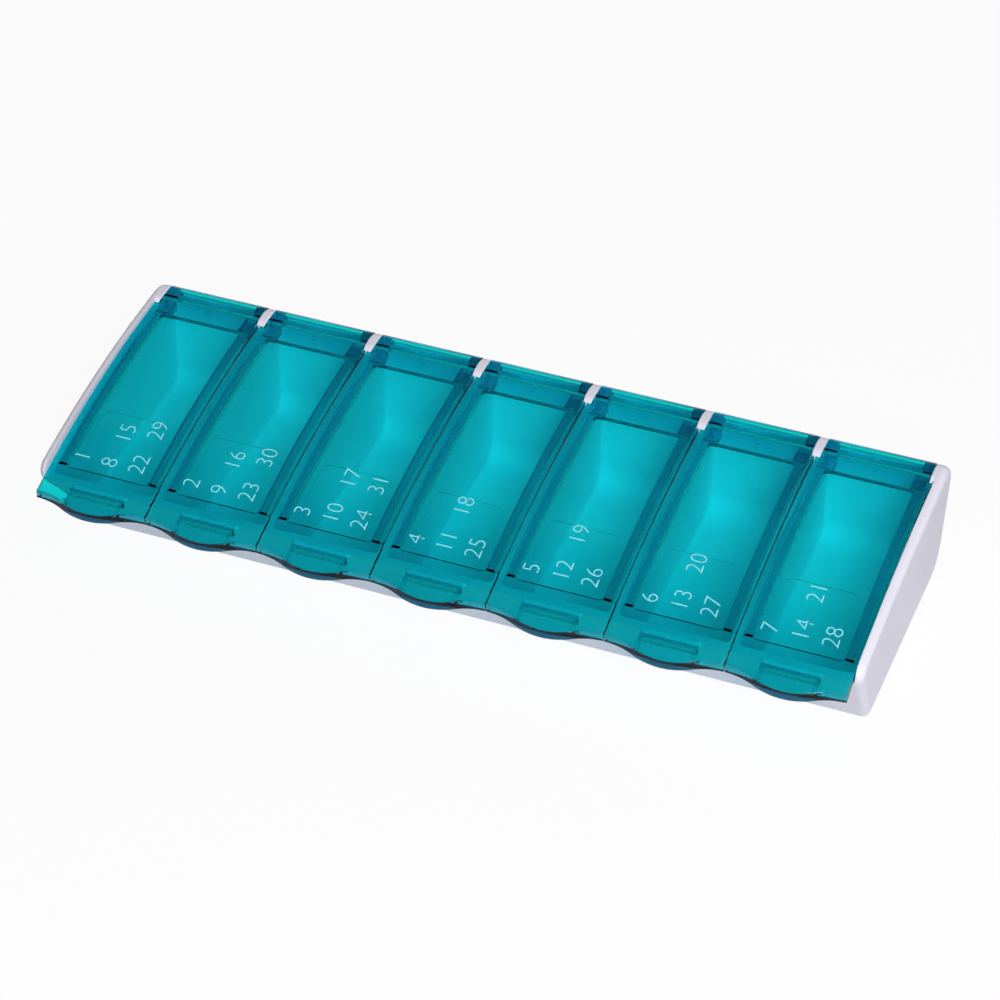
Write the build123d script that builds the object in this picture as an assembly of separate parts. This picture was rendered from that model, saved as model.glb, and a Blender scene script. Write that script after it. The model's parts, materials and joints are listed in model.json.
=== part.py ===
from build123d import *
import math
import os

# Seven-compartment pill organizer: one moulded tray and seven hinged lids.
# Millimetres, +Z up, front towards -Y. The origin is under the middle of the whole box.

# Row of compartments
lid_count = 7
lid_pitch = 33.0
lid_gap = 0.3
divider = 2.5

# Tray
foot_depth = 68.8
crown_height = 37.15
front_lean = 30.0
back_lean = 1.0
end_rim = 2.8
end_draft = 1.5
end_rise = 0.3
end_top_radius = 340.0
floor_thickness = 1.8
front_wall = 2.0
back_wall = 1.7
heel_radius = 8.0
toe_radius = 3.0
brow_radius = 4.0
back_edge_radius = 6.4
end_edge_radius = 2.2
scoop_radius = 12.0
inner_edge_radius = 1.2
back_rim_drop = 2.0

# Hinge
barrel_radius = 2.6
barrel_clearance = 0.3
trunnion_radius = 1.2
trunnion_clearance = 0.06
trunnion_gap = 0.5
bore_spare = 0.4
hinge_side_gap = 0.2
strip_length = 7.3
strip_gap = 0.4
strip_edge_radius = 0.35
barrel_root_radius = 1.2
barrel_wall = 1.2
barrel_end = 3.0

# Lid
lid_top_radius = 296.0
lid_plate = 2.4
window_plate = 1.2
label_plate = 2.0
seat_gap = 0.3
notch_radius = 0.5
skirt_clearance = 0.6
skirt_wall = 2.2
skirt_depth = 1.2
skirt_ramp = 3.0
skirt_corner = 1.5
skirt_setback = 11.3
window_inset = 1.1
ear_width = 3.6
ear_length = 7.0
ear_depth = 2.8
label_margin = 2.65
label_length = 20.6
label_depth = 0.1
label_corner = 2.0
gate_radius = 0.8
gate_setback = 6.3
gate_rise = 0.15
lid_edge_radius = 0.4

# Finger lip and latch
lip_overhang = 9.46
lip_plate = 3.0
lip_ramp = 3.0
lip_bulge = 3.4
latch_width = 15.0
bead_radius = 1.0
bead_drop = 1.2
hook_margin = 0.5
hook_wall = 1.0
hook_depth = 1.8
hook_gap = 1.2
tab_rib_depth = 0.8

# Places that follow from the sizes
hinge_inset = back_wall + barrel_clearance + barrel_radius
hinge_z = crown_height - barrel_radius
seat_depth = lid_plate + seat_gap
strip_round = lid_plate
end_crown = crown_height + end_rise
front_slope = math.tan(math.radians(front_lean))
back_slope = math.tan(math.radians(back_lean))
front_wall_run = front_wall / math.cos(math.radians(front_lean))


def front_meets_arc(radius, top):
    """Height at which the leaning front face meets an arc that is centred under the hinge line."""
    centre = top - radius
    run = hinge_inset - foot_depth - front_slope * centre
    slant = 1 + front_slope**2
    return centre + (run * front_slope + math.sqrt(slant * radius**2 - run**2)) / slant


rim_z = front_meets_arc(lid_top_radius - seat_depth, crown_height - seat_depth)
box_depth = foot_depth + front_slope * rim_z + lip_overhang
back_y = box_depth / 2
apex_y = -box_depth / 2
lip_y = apex_y + lip_bulge
hinge_y = back_y - hinge_inset
toe_y = back_y - foot_depth
strip_front = hinge_y - strip_length
notch_y = strip_front - strip_gap
bay_width = lid_pitch - divider
lid_half = (lid_pitch - lid_gap) / 2
hinge_half = bay_width / 2 - hinge_side_gap
trunnion_reach = (divider - trunnion_gap) / 2
row_half = lid_count * lid_pitch / 2
seat_half = row_half + lid_gap / 2
skirt_half = bay_width / 2 - skirt_clearance
clear_above = crown_height * 2
lid_centres = [(i - (lid_count - 1) / 2) * lid_pitch for i in range(lid_count)]


def lid_height(y, depth=0.0):
    """Height of the surface that lies a depth below the crowned top of the lids."""
    radius = lid_top_radius - depth
    return crown_height - lid_top_radius + math.sqrt(radius**2 - (y - hinge_y) ** 2)


def lid_point(y, depth=0.0):
    """Side-view point on a lid, at a depth below its top."""
    return (y, lid_height(y, depth))


def lid_arc(y_from, y_to, depth=0.0):
    """Side-view arc along a lid, at a depth below its top."""
    y_mid = (y_from + y_to) / 2
    return ThreePointArc(*[lid_point(y, depth) for y in (y_from, y_mid, y_to)])


def front_face_y(z):
    """Place of the tray's leaning front face at a height."""
    return toe_y - front_slope * z


def across(face, width):
    """A side-view face drawn in Y and Z, extruded to a width about the middle plane."""
    return extrude(Plane.YZ * face, amount=width / 2, both=True)


def nearest(shape, y, z):
    """The corner of a side-view face that lies nearest to a point."""
    return min(shape.vertices(), key=lambda v: math.hypot(v.X - y, v.Y - z))


def lid_band(y_from, y_to, depth_top, depth_bottom, width):
    """A strip of the lid's curve between two depths."""
    outline = [
        lid_arc(y_from, y_to, depth_top),
        Line(lid_point(y_to, depth_top), lid_point(y_to, depth_bottom)),
        lid_arc(y_to, y_from, depth_bottom),
        Line(lid_point(y_from, depth_bottom), lid_point(y_from, depth_top)),
    ]
    return across(make_face(outline), width)


def upright(sketch):
    """A plan-view sketch extruded through the whole height of the box."""
    return extrude(sketch, amount=clear_above)


# Places that the lid takes from the tray's front wall
skirt_foot_z = rim_z + seat_gap - skirt_depth
skirt_front = front_face_y(skirt_foot_z) + front_wall_run + skirt_clearance
bead_z = rim_z - bead_drop
bead_y = front_face_y(bead_z)
hook_y = bead_y - bead_radius - hook_gap
window_front = skirt_front + window_inset
window_back = hinge_y - skirt_setback
label_back = window_front + label_length


def tray_outside():
    """The drafted outer form, rounded along both ends."""
    end_arc_centre = end_crown - end_top_radius

    def end_top(y):
        return end_arc_centre + math.sqrt(end_top_radius**2 - (y - hinge_y) ** 2)

    heel_y = back_y - back_slope * crown_height
    brow_z = front_meets_arc(end_top_radius, end_crown)
    brow_y = front_face_y(brow_z)
    top_z = end_top(back_y)
    middle_y = (brow_y + back_y) / 2
    side = make_face(
        [
            Line((toe_y, 0), (heel_y, 0)),
            Line((heel_y, 0), (back_y, top_z)),
            ThreePointArc((back_y, top_z), (middle_y, end_top(middle_y)), (brow_y, brow_z)),
            Line((brow_y, brow_z), (toe_y, 0)),
        ]
    )
    side = fillet(nearest(side, heel_y, 0), heel_radius)
    side = fillet(nearest(side, toe_y, 0), toe_radius)
    side = fillet(nearest(side, brow_y, brow_z), brow_radius)
    side = fillet(nearest(side, back_y, top_z), back_edge_radius)
    top_half = row_half + end_rim
    foot_half = top_half - end_draft
    ends = Polyline(
        (-foot_half, 0), (foot_half, 0), (top_half, end_crown), (-top_half, end_crown), close=True
    )
    wedge = extrude(Plane.XZ * make_face(ends), amount=box_depth, both=True)
    body = across(side, 2 * top_half) & wedge
    end_faces = body.faces().sort_by(Axis.X)
    return fillet(end_faces[0].edges() + end_faces[-1].edges(), end_edge_radius)


def bay():
    """The room of one compartment, open at the top, with a scooped front."""
    top = clear_above
    floor_front = front_face_y(floor_thickness) + front_wall_run
    front_top = front_face_y(top) + front_wall_run
    floor_back = back_y - back_slope * (crown_height - floor_thickness) - back_wall
    back_top = back_y - back_slope * (crown_height - top) - back_wall
    side = make_face(
        Polyline(
            (floor_front, floor_thickness),
            (floor_back, floor_thickness),
            (back_top, top),
            (front_top, top),
            close=True,
        )
    )
    side = fillet(nearest(side, floor_front, floor_thickness), scoop_radius)
    side = fillet(nearest(side, floor_back, floor_thickness), heel_radius - back_wall)
    room = across(side, bay_width)
    sides = room.faces().sort_by(Axis.X)
    return fillet(sides[0].edges() + sides[-1].edges(), inner_edge_radius)


def lid_seat():
    """What is cut from the tray so that the lids lie in it, ahead of the hinge strips."""
    front = apex_y - lip_bulge
    side = make_face(
        [
            lid_arc(front, strip_front, seat_depth),
            Polyline(
                lid_point(strip_front, seat_depth),
                (strip_front, clear_above),
                (front, clear_above),
                lid_point(front, seat_depth),
            ),
        ]
    )
    return across(side, 2 * seat_half)


def back_notch():
    """The lowered stretch of the back wall behind one hinge barrel."""
    rim = hinge_z - back_rim_drop
    depth = hinge_inset + back_wall
    box = Box(bay_width, depth, clear_above, align=(Align.CENTER, Align.MIN, Align.MIN))
    return Pos(0, hinge_y, rim) * box


def latch_bead():
    """The rounded bead on the front wall that a lid snaps over."""
    bar = Cylinder(bead_radius, latch_width, rotation=(0, 90, 0))
    ends = [Pos(side * latch_width / 2, 0, 0) * Sphere(bead_radius) for side in (-1, 1)]
    return Pos(0, bead_y, bead_z) * (bar + ends)


def strip_edges(tray):
    """The curved upper edges of the hinge strips, on both faces of each divider."""
    bay_sides = [x + side * bay_width / 2 for x in lid_centres for side in (-1, 1)]
    curved = tray.edges().filter_by(GeomType.CIRCLE)
    upper = curved.filter_by_position(Axis.Z, hinge_z, end_crown)
    behind = upper.filter_by_position(Axis.Y, strip_front, back_y)
    return [e for e in behind if min(abs(e.center().X - x) for x in bay_sides) < hinge_side_gap]


def base_tray():
    bore = Cylinder(
        trunnion_radius + trunnion_clearance,
        2 * (row_half - divider / 2 + trunnion_reach + bore_spare),
        rotation=(0, 90, 0),
    )
    room = bay()
    notch = back_notch()
    bead = latch_bead()
    beads = [Pos(x, 0, 0) * bead for x in lid_centres]
    cuts = [Pos(x, 0, 0) * shape for x in lid_centres for shape in (room, notch)]
    body = tray_outside() - lid_seat()
    tips = body.edges().filter_by(Axis.X).filter_by_position(Axis.Y, notch_y, strip_front)
    body = fillet(tips.sort_by(Axis.Z)[-1], strip_round) + beads - cuts
    body = fillet(strip_edges(body), strip_edge_radius)
    return body - Pos(0, hinge_y, hinge_z) * bore


def lip_curve(width_half, y):
    """The wavy front edge: one tangent arc in, one out round the finger tab, one in again."""
    turn = 2 * math.degrees(math.atan(lip_bulge / width_half))
    radius = width_half / 2 / math.sin(math.radians(turn))
    first = JernArc((-width_half, y), (1, 0), radius, -turn)
    tab = JernArc(first @ 1, first % 1, radius, 2 * turn)
    last = JernArc(tab @ 1, tab % 1, radius, -turn)
    return [first, tab, last]


def lid_plan(front_y):
    """Plan of a lid, narrow between the hinge strips, with the wavy edge at a place."""
    back = back_y + lip_bulge
    edge = lip_curve(lid_half, front_y)
    sides = Polyline(
        edge[-1] @ 1,
        (lid_half, notch_y),
        (hinge_half, notch_y),
        (hinge_half, back),
        (-hinge_half, back),
        (-hinge_half, notch_y),
        (-lid_half, notch_y),
        edge[0] @ 0,
    )
    plan = make_face([*edge, sides])
    corners = [v for v in plan.vertices() if abs(v.Y - notch_y) < lid_gap and abs(v.X) > hinge_half]
    return fillet(corners, notch_radius)


def lid_side():
    """Side view of the plate, with the hinge barrel along its back edge and a thick finger lip."""
    front = apex_y - lip_bulge
    root_z = lid_height(hinge_y - barrel_radius, lid_plate)
    root_y = hinge_y - math.sqrt(barrel_radius**2 - (root_z - hinge_z) ** 2)
    root_z = lid_height(root_y, lid_plate)
    side = make_face(
        [
            lid_arc(front, hinge_y),
            ThreePointArc(
                (hinge_y, crown_height),
                (hinge_y + barrel_radius, hinge_z),
                (hinge_y, hinge_z - barrel_radius),
            ),
            RadiusArc((hinge_y, hinge_z - barrel_radius), (root_y, root_z), barrel_radius),
            lid_arc(root_y, hook_y, lid_plate),
            Line(lid_point(hook_y, lid_plate), lid_point(hook_y - lip_ramp, lip_plate)),
            lid_arc(hook_y - lip_ramp, front, lip_plate),
            Line(lid_point(front, lip_plate), lid_point(front)),
        ]
    )
    return fillet(nearest(side, root_y, root_z), barrel_root_radius)


def rail_pair(width, y_from, y_to, depth):
    """Two equal rails under the plate, one along each side of the compartment, ramped in front."""
    half_plate = lid_plate / 2
    foot = lid_plate + depth
    side = make_face(
        [
            lid_arc(y_from, y_to, half_plate),
            Line(lid_point(y_to, half_plate), lid_point(y_to, foot)),
            lid_arc(y_to, y_from + skirt_ramp, foot),
            Line(lid_point(y_from + skirt_ramp, foot), lid_point(y_from, half_plate)),
        ]
    )
    return [Pos(x, 0, 0) * across(side, width) for x in (width / 2 - skirt_half, skirt_half - width / 2)]


def lid_skirt():
    """The rails under the plate that drop into the compartment, and thick ears at their back."""
    rails = rail_pair(skirt_wall, skirt_front, window_back + skirt_wall, skirt_depth)
    return rails + rail_pair(ear_width, window_back, window_back + ear_length, ear_depth)


def hollow(width, length, corner, relief=0.0):
    """What is cut from under a lid, from the front of its window, with a relief cut a little deeper.

    The plate that is left is thin, and thickens towards the front under the label.
    """
    front_depth = label_plate - relief
    back_depth = window_plate - relief
    below = lid_plate + 2 * skirt_depth
    side = make_face(
        [
            Line(lid_point(window_front, front_depth), lid_point(label_back, back_depth)),
            lid_arc(label_back, window_back, back_depth),
            Line(lid_point(window_back, back_depth), lid_point(window_back, below)),
            lid_arc(window_back, window_front, below),
            Line(lid_point(window_front, below), lid_point(window_front, front_depth)),
        ]
    )
    plan = Pos(0, window_front + length / 2) * RectangleRounded(width, length, corner)
    return upright(plan) & across(side, width)


def lid_front():
    """The hook plate under the finger lip and the two ribs in front of it."""
    half_plate = lid_plate / 2
    hook_width = latch_width + 2 * hook_margin
    hook = lid_band(
        hook_y - hook_wall, hook_y, half_plate, lip_plate + hook_depth, hook_width
    )
    rib_middle = (hook_width - hook_wall) / 2
    rib_band = lid_band(
        lip_y, hook_y - hook_wall / 2, half_plate, lip_plate + tab_rib_depth, 2 * lid_half
    )
    ribs = [
        upright(Pos(side * rib_middle, lip_y) * Rectangle(hook_wall, box_depth)) & rib_band
        for side in (-1, 1)
    ]
    return [hook] + ribs


def plate_with_barrel():
    """The curved plate and its hinge barrel, rounded along the lip and both sides."""
    plate = across(lid_side(), 2 * lid_half) & upright(lid_plan(lip_y))
    top = plate.faces().sort_by(SortBy.AREA)[-1]
    sides = top.edges().filter_by_position(Axis.Y, lip_y, notch_y - notch_radius)
    wave = plate.edges().filter_by_position(Axis.Y, apex_y, lip_y).filter_by(Axis.Z, reverse=True)
    return fillet(sides + wave, lid_edge_radius)


def barrel_core():
    """The groove that hollows the hinge barrel from below, between its solid ends."""
    radius = barrel_radius - barrel_wall
    length = 2 * (hinge_half - barrel_end)
    bore = Cylinder(radius, length, rotation=(0, 90, 0))
    mouth = Box(length, 2 * radius, 2 * barrel_radius, align=(Align.CENTER, Align.CENTER, Align.MAX))
    return Pos(0, hinge_y, hinge_z) * (bore + mouth)


def lid():
    pins = Pos(0, hinge_y, hinge_z) * Cylinder(
        trunnion_radius, 2 * (hinge_half + hinge_side_gap + trunnion_reach), rotation=(0, 90, 0)
    )
    window_width = 2 * (skirt_half - skirt_wall)
    window = hollow(window_width, window_back - window_front, skirt_corner)
    label_width = window_width - 2 * label_margin
    label = hollow(label_width, label_length, label_corner, label_depth)
    gate = Pos(0, hinge_y - gate_setback) * Circle(gate_radius)
    gate_mark = upright(gate) & lid_band(
        notch_y, hinge_y - barrel_radius, lid_plate / 2, lid_plate + gate_rise, hinge_half
    )
    body = plate_with_barrel() + lid_skirt() + lid_front() + gate_mark + pins
    return body - window - label - barrel_core()


def only_solid(shape):
    """The one solid that a moulding is."""
    solids = shape.solids()
    assert len(solids) == 1, f"{len(solids)} solids in one moulding"
    return solids[0]


os.makedirs("parts", exist_ok=True)
export_step(only_solid(base_tray()), "parts/base_tray.step")
one_lid = only_solid(lid())
for number, x in enumerate(lid_centres, start=1):
    export_step(Pos(x, 0, 0) * one_lid, f"parts/lid_{number}.step")
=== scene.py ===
import json
import math

import bmesh
import bpy
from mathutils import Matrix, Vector


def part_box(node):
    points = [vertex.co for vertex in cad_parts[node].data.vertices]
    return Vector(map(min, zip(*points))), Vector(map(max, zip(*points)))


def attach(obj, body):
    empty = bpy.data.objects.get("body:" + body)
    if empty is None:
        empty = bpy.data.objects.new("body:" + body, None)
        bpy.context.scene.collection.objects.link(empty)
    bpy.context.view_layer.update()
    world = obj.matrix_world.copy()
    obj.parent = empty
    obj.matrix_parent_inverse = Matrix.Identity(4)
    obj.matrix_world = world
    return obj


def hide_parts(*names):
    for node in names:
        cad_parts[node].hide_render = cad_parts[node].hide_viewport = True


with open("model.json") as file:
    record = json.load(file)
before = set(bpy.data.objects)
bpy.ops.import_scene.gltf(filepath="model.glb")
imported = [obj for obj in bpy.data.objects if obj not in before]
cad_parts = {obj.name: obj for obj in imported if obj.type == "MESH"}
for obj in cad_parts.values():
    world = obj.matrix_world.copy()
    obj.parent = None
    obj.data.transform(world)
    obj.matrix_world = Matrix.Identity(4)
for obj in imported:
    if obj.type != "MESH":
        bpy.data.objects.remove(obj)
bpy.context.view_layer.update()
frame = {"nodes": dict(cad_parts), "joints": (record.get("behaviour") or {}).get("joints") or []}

# Tray: the white lower half, moulded in one shot of polypropylene. Floor, walls, dividers, hinge
# strips and latch beads are all one piece. The mould was eroded to a fine satin, which scatters the
# light, and the plastic has a faint lavender cast.
tray_white = (0.85, 0.83, 0.93, 1)
tray_shade = (0.81, 0.79, 0.895, 1)
tray_gloss = (0.34, 0.46)
tray_ior = 1.49
cloud_scale = 38.0
cloud_span = (0.3, 0.6)
grain_scale = 2600.0
grain_depth = 0.00004
grain_strength = 0.08
smooth_below = math.radians(50)
flat_face_weight = 90
same_point = 1e-6


def merged_copy(node):
    """A moulding's mesh as joined faces, ready to be worked on."""
    shape = bmesh.new()
    shape.from_mesh(frame["nodes"][node].data)
    bmesh.ops.remove_doubles(shape, verts=shape.verts, dist=same_point)
    return shape


def smooth_piece(shape, name):
    """A piece from a joined mesh, with smooth curved faces and crisp corners."""
    shape.normal_update()
    for edge in shape.edges:
        edge.smooth = edge.calc_face_angle(0) < smooth_below
    for face in shape.faces:
        face.smooth = True
    mesh = bpy.data.meshes.new(name)
    shape.to_mesh(mesh)
    shape.free()
    rough = bpy.data.objects.new(name + "_draft", mesh)
    bpy.context.scene.collection.objects.link(rough)
    even = rough.modifiers.new("even_normals", "WEIGHTED_NORMAL")
    even.keep_sharp = True
    even.weight = flat_face_weight
    bpy.context.view_layer.update()
    view = rough.evaluated_get(bpy.context.evaluated_depsgraph_get())
    piece = bpy.data.objects.new(name, bpy.data.meshes.new_from_object(view))
    bpy.context.scene.collection.objects.link(piece)
    bpy.data.objects.remove(rough)
    return piece


def adder(tree):
    """A short way to add a node to a tree and to set or join its inputs."""

    def add(kind, **inputs):
        node = tree.nodes.new(kind)
        for key, value in inputs.items():
            socket = node.inputs[key.replace("_", " ")]
            if isinstance(value, bpy.types.NodeSocket):
                tree.links.new(value, socket)
            else:
                socket.default_value = value
        return node

    return add


def new_material(name):
    """An empty node material, with its tree, its output and the way to add nodes to it."""
    material = bpy.data.materials.new(name)
    material.use_nodes = True
    tree = material.node_tree
    tree.nodes.clear()
    output = tree.nodes.new("ShaderNodeOutputMaterial")
    return material, tree, output, adder(tree)


def satin_white():
    """Satin white polypropylene: slow cloudiness in the colour and fine erosion grain in the surface."""
    material, tree, output, add = new_material("satin_white_polypropylene")
    place = add("ShaderNodeTexCoord").outputs["Object"]
    clouds = add("ShaderNodeTexNoise", Vector=place, Scale=cloud_scale, Detail=3.0, Roughness=0.5)
    spread = add(
        "ShaderNodeMapRange",
        Value=clouds.outputs["Fac"],
        From_Min=cloud_span[0],
        From_Max=cloud_span[1],
    )
    tint = add("ShaderNodeMix", Factor=spread.outputs["Result"])
    tint.data_type = "RGBA"
    first_colour, second_colour, mixed_colour = 6, 7, 2
    tint.inputs[first_colour].default_value = tray_shade
    tint.inputs[second_colour].default_value = tray_white
    gloss = add(
        "ShaderNodeMapRange",
        Value=clouds.outputs["Fac"],
        To_Min=tray_gloss[0],
        To_Max=tray_gloss[1],
    )
    grain = add("ShaderNodeTexNoise", Vector=place, Scale=grain_scale, Detail=2.0, Roughness=0.6)
    bump = add(
        "ShaderNodeBump",
        Strength=grain_strength,
        Distance=grain_depth,
        Height=grain.outputs["Fac"],
    )
    plastic = add(
        "ShaderNodeBsdfPrincipled",
        Base_Color=tint.outputs[mixed_colour],
        Roughness=gloss.outputs["Result"],
        IOR=tray_ior,
        Normal=bump.outputs["Normal"],
    )
    tree.links.new(plastic.outputs["BSDF"], output.inputs["Surface"])
    return material


tray = smooth_piece(merged_copy("base_tray"), "tray_moulding")
tray.data.materials.append(satin_white())
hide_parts("base_tray")
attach(tray, "tray")

# Lids: seven equal covers in clear teal plastic, polished on the outside. Each one turns on two
# moulded pins between the hinge strips and snaps over the tray's bead under its wavy finger lip.
lid_names = [joint["child"] for joint in frame["joints"]]
hinge = Vector(frame["joints"][0]["pos_m"])
lid_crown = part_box("lid_1")[1].z
lid_radius = 0.296
lid_edge_round = 0.0004
lid_edge_row = math.radians(45)
lid_slice = 0.0015
slice_snap = 3e-5
same_lid_point = 1e-5
flat_within = math.radians(0.2)
lid_tint = (0.35, 1.0, 0.83, 1)
lid_shadow_tint = (0.8, 1.0, 0.97, 1)
lid_depth_tint = (0.067, 0.897, 0.940, 1)
lid_density = 1500.0
lid_ior = 1.49
lid_gloss = (0.02, 0.05)
flow_scale = 90.0
flow_depth = 0.0002
flow_strength = 0.05


def unrolled(point):
    """A point of a lid laid flat: along the lid's curve from the hinge line, and height above its top."""
    centre_z = lid_crown - lid_radius
    across, up = point.y - hinge.y, point.z - centre_z
    return Vector((point.x, math.atan2(across, up) * lid_radius, math.hypot(across, up) - lid_radius))


def rolled(point):
    """The same point back on the curved lid."""
    turn = point.y / lid_radius
    reach = lid_radius + point.z
    centre_z = lid_crown - lid_radius
    return Vector((point.x, hinge.y + math.sin(turn) * reach, centre_z + math.cos(turn) * reach))


def even_round(point, middle, half_width):
    """A point on the rounded long edge of a flat lid, moved to the nearest of three even rows."""
    core = half_width - lid_edge_round
    across = abs(point.x - middle) - core
    up = point.z + lid_edge_round
    if across <= 0 or up <= 0:
        return point
    row = round(math.atan2(up, across) / lid_edge_row) * lid_edge_row
    side = math.copysign(core + lid_edge_round * math.cos(row), point.x - middle)
    return Vector((middle + side, point.y, lid_edge_round * (math.sin(row) - 1)))


def finely_curved(shape, low, high):
    """Cuts a lid into narrow slices while it is laid flat, so that its long curve has no flat spots."""
    middle, half_width = (low.x + high.x) / 2, (high.x - low.x) / 2
    for vert in shape.verts:
        vert.co = even_round(unrolled(vert.co), middle, half_width)
    bmesh.ops.remove_doubles(shape, verts=shape.verts, dist=same_lid_point)
    bmesh.ops.dissolve_degenerate(shape, edges=shape.edges, dist=same_lid_point)
    bmesh.ops.dissolve_limit(
        shape, angle_limit=flat_within, verts=shape.verts, edges=shape.edges, delimit=set()
    )
    front = min(vert.co.y for vert in shape.verts)
    back = max(vert.co.y for vert in shape.verts)
    for step in range(1, int((back - front) / lid_slice)):
        whole = shape.verts[:] + shape.edges[:] + shape.faces[:]
        line = (0, front + step * lid_slice, 0)
        bmesh.ops.bisect_plane(shape, geom=whole, plane_co=line, plane_no=(0, 1, 0), dist=slice_snap)
    bmesh.ops.dissolve_degenerate(shape, edges=shape.edges, dist=same_lid_point)
    for vert in shape.verts:
        vert.co = rolled(vert.co)
    return shape


def either(tree, first, second):
    """The larger of two values, so that either of two kinds of ray counts."""
    larger = tree.nodes.new("ShaderNodeMath")
    larger.operation = "MAXIMUM"
    tree.links.new(first, larger.inputs[0])
    tree.links.new(second, larger.inputs[1])
    return larger.outputs["Value"]


def mixed(tree, share, first, second):
    """Two shaders in one, where the share belongs to the second."""
    mix = tree.nodes.new("ShaderNodeMixShader")
    tree.links.new(share, mix.inputs["Fac"])
    tree.links.new(first, mix.inputs[1])
    tree.links.new(second, mix.inputs[2])
    return mix.outputs["Shader"]


def clear_teal():
    """Clear teal plastic: light is bent and tinted inside, so thick walls and edges go dark."""
    material, tree, output, add = new_material("clear_teal_plastic")
    place = add("ShaderNodeTexCoord").outputs["Object"]
    flow = add("ShaderNodeTexNoise", Vector=place, Scale=flow_scale, Detail=2.0, Roughness=0.4)
    gloss = add(
        "ShaderNodeMapRange",
        Value=flow.outputs["Fac"],
        To_Min=lid_gloss[0],
        To_Max=lid_gloss[1],
    )
    ripple = add(
        "ShaderNodeBump",
        Strength=flow_strength,
        Distance=flow_depth,
        Height=flow.outputs["Fac"],
    )
    plastic = add(
        "ShaderNodeBsdfPrincipled",
        Base_Color=lid_tint,
        Roughness=gloss.outputs["Result"],
        IOR=lid_ior,
        Transmission_Weight=1.0,
        Normal=ripple.outputs["Normal"],
    )
    through = add("ShaderNodeBsdfTransparent", Color=lid_shadow_tint)
    ray = add("ShaderNodeLightPath")
    lamp_or_bounce = either(tree, ray.outputs["Is Shadow Ray"], ray.outputs["Is Diffuse Ray"])
    surface = mixed(tree, lamp_or_bounce, plastic.outputs["BSDF"], through.outputs["BSDF"])
    tree.links.new(surface, output.inputs["Surface"])
    depth = add("ShaderNodeVolumeAbsorption", Color=lid_depth_tint, Density=lid_density)
    tree.links.new(depth.outputs["Volume"], output.inputs["Volume"])
    return material


lid_material = clear_teal()
for lid_name in lid_names:
    flowing = finely_curved(merged_copy(lid_name), *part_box(lid_name))
    lid = smooth_piece(flowing, lid_name + "_moulding")
    lid.data.materials.append(lid_material)
    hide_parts(lid_name)
    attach(lid, lid_name)

# Numbers: the dates of a month, in thin pale print on the lids. Each lid carries the dates of its own
# day of the week in three rows, which run up the lid from its front.
print_white = (0.30, 0.86, 0.98, 1)
print_gloss = (0.4, 0.6)
print_patches = 900.0
print_size = 0.0069
print_line = 0.0082
print_first = -0.0065
print_front = -0.0726
print_film = 0.00003
print_thinning = -0.02
print_curve_steps = 4
print_space = "   "
last_date = 31


def dates(first):
    """The dates of one day of the week, as three rows of print."""
    days = [str(day) for day in range(first, last_date + 1, len(lid_names))]
    return "\n".join(print_space.join(row) for row in (days[:1], days[1:3], days[3:]))


def printed(number, lid_name):
    """The rows of print on one lid, as a thin mesh that follows the lid's curve."""
    font = bpy.data.curves.new(lid_name + "_print", "FONT")
    font.body = dates(number)
    font.space_line = print_line / print_size
    font.offset = print_thinning
    font.resolution_u = print_curve_steps
    draft = bpy.data.objects.new(lid_name + "_draft", font)
    bpy.context.scene.collection.objects.link(draft)
    bpy.context.view_layer.update()
    mesh = bpy.data.meshes.new_from_object(draft.evaluated_get(bpy.context.evaluated_depsgraph_get()))
    bpy.data.objects.remove(draft)
    low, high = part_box(lid_name)
    middle = (low.x + high.x) / 2
    for vert in mesh.vertices:
        across = middle + print_first - print_size * vert.co.y
        vert.co = rolled(Vector((across, print_front + print_size * vert.co.x, print_film)))
    piece = bpy.data.objects.new(lid_name + "_print", mesh)
    bpy.context.scene.collection.objects.link(piece)
    return piece


def pale_print():
    """Pad-printed ink: pale, nearly matt, a little uneven where the film is thin."""
    material, tree, output, add = new_material("pale_print")
    place = add("ShaderNodeTexCoord").outputs["Object"]
    patchy = add("ShaderNodeTexNoise", Vector=place, Scale=print_patches, Detail=2.0, Roughness=0.5)
    gloss = add(
        "ShaderNodeMapRange",
        Value=patchy.outputs["Fac"],
        To_Min=print_gloss[0],
        To_Max=print_gloss[1],
    )
    ink = add("ShaderNodeBsdfPrincipled", Base_Color=print_white, Roughness=gloss.outputs["Result"])
    tree.links.new(ink.outputs["BSDF"], output.inputs["Surface"])
    return material


print_material = pale_print()
for number, lid_name in enumerate(lid_names, start=1):
    rows = printed(number, lid_name)
    rows.data.materials.clear()
    rows.data.materials.append(print_material)
    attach(rows, lid_name)

# Floor: a large sheet of matt white paper. It shows as white to the camera and through the lids, and
# keeps a faint shadow under the object.
floor_half = 2.0
paper_white = (0.66, 0.66, 0.68, 1)
glow_white = (1, 1, 1, 1)
glow_strength = 1.04
glow_share = 0.88
floor_corners = [(-1, -1), (1, -1), (1, 1), (-1, 1)]
mesh = bpy.data.meshes.new("studio_floor")
mesh.from_pydata([(x * floor_half, y * floor_half, 0) for x, y in floor_corners], [], [(0, 1, 2, 3)])
floor = bpy.data.objects.new("studio_floor", mesh)
bpy.context.scene.collection.objects.link(floor)


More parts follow.
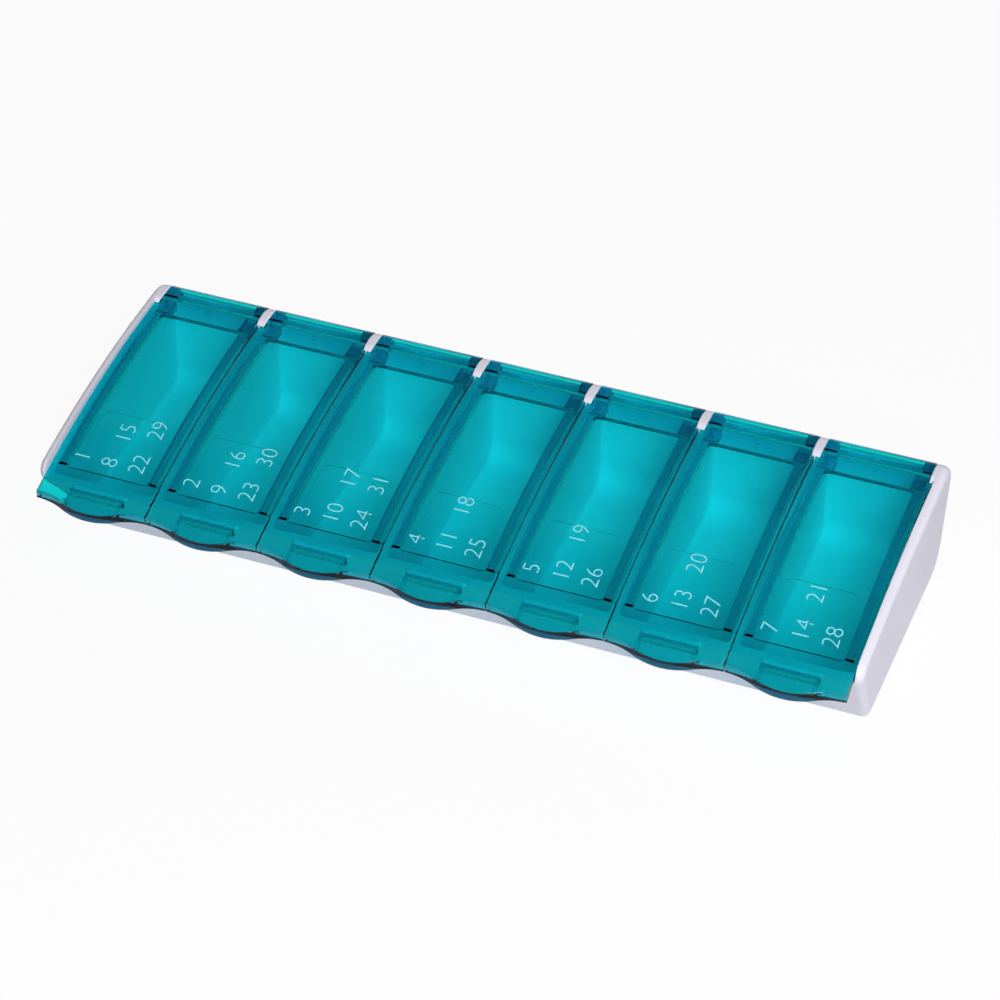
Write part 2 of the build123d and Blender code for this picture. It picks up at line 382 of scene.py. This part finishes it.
def white_sweep():
    """Matt white paper that shows as white, and is darkened a little where the object shades it."""
    material, tree, output, add = new_material("white_sweep")
    ray = add("ShaderNodeLightPath")
    paper = add("ShaderNodeBsdfDiffuse", Color=paper_white)
    glow = add("ShaderNodeEmission", Color=glow_white, Strength=glow_strength)
    share = tree.nodes.new("ShaderNodeMath")
    share.operation = "MULTIPLY"
    share.inputs[1].default_value = glow_share
    seen = either(tree, ray.outputs["Is Camera Ray"], ray.outputs["Is Transmission Ray"])
    tree.links.new(seen, share.inputs[0])
    surface = mixed(tree, share.outputs["Value"], paper.outputs["BSDF"], glow.outputs["Emission"])
    tree.links.new(surface, output.inputs["Surface"])
    return material


floor.data.materials.append(white_sweep())

# Room: a white wall behind the object, lit up to a soft upper edge, under a dark ceiling. The room's
# front is dark as well, so that the lids mirror little of it. Where the camera looks at the room, or
# through a lid, it is white on all sides.
room_white = (0.96, 0.955, 1.0, 1)
wall_strength = 1.0
dark_strength = 0.03
wall_top = 0.47
wall_fade = 0.12
wall_front = -0.1
wall_back = 0.5


def white_room():
    """The room as a world: wall and ceiling are told apart by the direction in which they lie."""
    room = bpy.data.worlds.new("white_room")
    room.use_nodes = True
    tree = room.node_tree
    tree.nodes.clear()
    add = adder(tree)
    toward = add("ShaderNodeSeparateXYZ", Vector=add("ShaderNodeTexCoord").outputs["Generated"])
    upper_edge = add(
        "ShaderNodeMapRange",
        Value=toward.outputs["Z"],
        From_Min=wall_top + wall_fade,
        From_Max=wall_top - wall_fade,
    )
    upper_edge.interpolation_type = "SMOOTHSTEP"
    side_edge = add(
        "ShaderNodeMapRange",
        Value=toward.outputs["Y"],
        From_Min=wall_front,
        From_Max=wall_back,
    )
    side_edge.interpolation_type = "SMOOTHSTEP"
    lit = tree.nodes.new("ShaderNodeMath")
    lit.operation = "MULTIPLY"
    tree.links.new(upper_edge.outputs["Result"], lit.inputs[0])
    tree.links.new(side_edge.outputs["Result"], lit.inputs[1])
    ray = add("ShaderNodeLightPath")
    seen = either(tree, ray.outputs["Is Camera Ray"], ray.outputs["Is Transmission Ray"])
    white = either(tree, lit.outputs["Value"], seen)
    dark = add("ShaderNodeBackground", Color=room_white, Strength=dark_strength)
    wall = add("ShaderNodeBackground", Color=room_white, Strength=wall_strength)
    surface = mixed(tree, white, dark.outputs["Background"], wall.outputs["Background"])
    add("ShaderNodeOutputWorld", Surface=surface)
    return room


bpy.context.scene.world = white_room()

# Lamps: a square softbox at the front right, which gives most of the light and the shadow, and a small
# one above. Both are hidden from what is seen through the lids, where they would show as hard patches.
lamp_aim = Vector((0, 0, 0.02))
key_place = Vector((0.70, -1.08, 0.96))
key_side = 0.7
key_power = 23.0
top_place = Vector((0.15, -0.05, 0.9))
top_side = 0.4
top_power = 1.2


def soft_box(name, place, side, power):
    """A square softbox that faces the object."""
    lamp = bpy.data.lights.new(name, "AREA")
    lamp.shape = "RECTANGLE"
    lamp.size = side
    lamp.size_y = side
    lamp.energy = power
    box = bpy.data.objects.new(name, lamp)
    box.location = place
    box.rotation_euler = (lamp_aim - place).to_track_quat("-Z", "Y").to_euler()
    box.visible_transmission = False
    bpy.context.scene.collection.objects.link(box)


soft_box("key_box", key_place, key_side, key_power)
soft_box("top_box", top_place, top_side, top_power)

# Camera: a long lens from the front right, about 39 degrees above the table. It frames the whole object
# as the photograph does, and shows its colours as they are written.
camera_lens = 124.7
camera_sensor = 36.0
camera_near = 0.01
camera_place = Vector((0.26961, -0.68385, 0.61837))
look_at = Vector((0, 0.0104, 0.015))
lens = bpy.data.cameras.new("product_camera")
lens.lens = camera_lens
lens.sensor_width = camera_sensor
lens.clip_start = camera_near
camera = bpy.data.objects.new("product_camera", lens)
camera.location = camera_place
camera.rotation_euler = (look_at - camera_place).to_track_quat("-Z", "Y").to_euler()
bpy.context.scene.collection.objects.link(camera)
bpy.context.scene.camera = camera
bpy.context.scene.view_settings.view_transform = "Standard"
